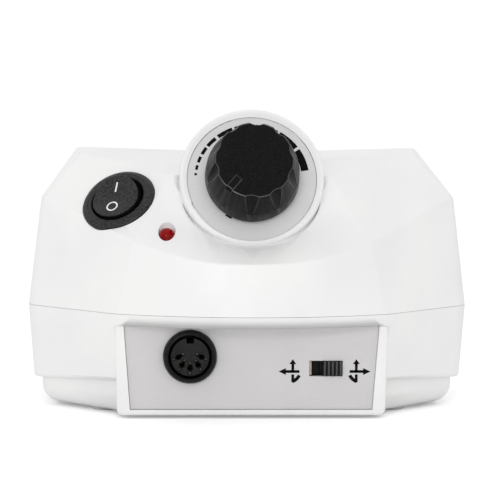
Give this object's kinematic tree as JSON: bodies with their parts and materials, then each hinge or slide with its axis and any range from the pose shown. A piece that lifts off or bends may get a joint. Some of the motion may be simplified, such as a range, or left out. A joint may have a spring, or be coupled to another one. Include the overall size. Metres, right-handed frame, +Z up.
{
  "type": "nail drill control box",
  "caption": "White desktop control box of an electric nail drill, with a speed dial, a power rocker, a lamp, a handpiece socket and a direction switch",
  "frame": {"origin": "on the floor under the middle of the whole object, with the feet standing on z = 0", "axes": "+X to the right seen from the front, +Y to the back, +Z up; the control side faces -Y"},
  "size_m": [0.1386, 0.1199, 0.0942],
  "materials": {
    "shell": "glossy white moulded ABS",
    "panel": "satin light grey printed panel",
    "dial_plate": "satin silver grey printed disc",
    "rubber": "matte white rubber",
    "knob": "matte black moulded plastic",
    "black_plastic": "satin black plastic",
    "charcoal_plastic": "fine grained charcoal plastic",
    "lamp": "clear deep red epoxy",
    "steel": "nickel plated steel",
    "brass": "bright brass",
    "ivory_plastic": "ivory nylon",
    "fuse_glass": "clear glass tube with plated ends",
    "board": "green solder mask on glass fibre",
    "sleeve": "dark blue shrink sleeve",
    "aluminium": "extruded aluminium",
    "lamination": "varnished silicon steel sheets",
    "copper": "enamelled copper wire"
  },
  "bodies": {
    "case": {"top_shell": "shell", "bottom_shell": "shell", "front_panel": "panel", "rear_panel": "panel", "rubber_feet": "rubber", "case_screws": "steel", "dial_plate": "dial_plate", "pot_body": "steel", "pot_terminals": "brass", "pot_washer": "steel", "pot_nut": "steel", "rocker_housing": "black_plastic", "rocker_terminals": "brass", "power_led": "lamp", "led_leads": "steel", "socket_shell": "black_plastic", "socket_insert": "charcoal_plastic", "socket_contacts": "brass", "socket_nut": "steel", "direction_frame": "steel", "direction_base": "black_plastic", "direction_terminals": "brass", "mains_inlet": "black_plastic", "inlet_pins": "steel", "fuse_holder": "black_plastic", "fuse_link": "fuse_glass", "fuse_nut": "black_plastic", "pedal_jack": "charcoal_plastic", "jack_nut": "steel", "mode_frame": "steel", "mode_base": "black_plastic", "mode_terminals": "brass", "circuit_board": "board", "board_screws": "steel", "filter_capacitors": "sleeve", "bridge_rectifier": "black_plastic", "heat_sink": "aluminium", "power_transistor": "black_plastic", "control_chip": "black_plastic", "board_headers": "ivory_plastic", "transformer_core": "lamination", "transformer_bobbin": "ivory_plastic", "transformer_winding": "copper", "transformer_bracket": "steel", "transformer_screws": "steel"},
    "knob": {"speed_knob": "knob", "pot_shaft": "steel"},
    "rocker": {"rocker_button": "charcoal_plastic"},
    "direction": {"direction_slider": "black_plastic"},
    "mode": {"mode_slider": "black_plastic"},
    "fuse_cap": {"fuse_cap": "charcoal_plastic"}
  },
  "joints": [
    {"name": "speed_turn", "type": "hinge", "parent": "case", "child": "knob", "pos_m": [0, -0.03902, 0.0732], "axis": [0, -0.9304, 0.3665], "range_deg": [-270, 0]},
    {"name": "power_rock", "type": "hinge", "parent": "case", "child": "rocker", "pos_m": [-0.04027, -0.02806, 0.06462], "axis": [0.891, -0.454, 0], "range_deg": [-17, 0]},
    {"name": "direction_slide", "type": "slide", "parent": "case", "child": "direction", "axis": [1, 0, 0], "range_m": [-0.004, 0]},
    {"name": "mode_slide", "type": "slide", "parent": "case", "child": "mode", "axis": [1, 0, 0], "range_m": [0, 0.004]},
    {"name": "fuse_turn", "type": "hinge", "parent": "case", "child": "fuse_cap", "pos_m": [0.007, 0.05498, 0.0165], "axis": [0, 1, 0], "range_deg": [0, 90]}
  ]
}
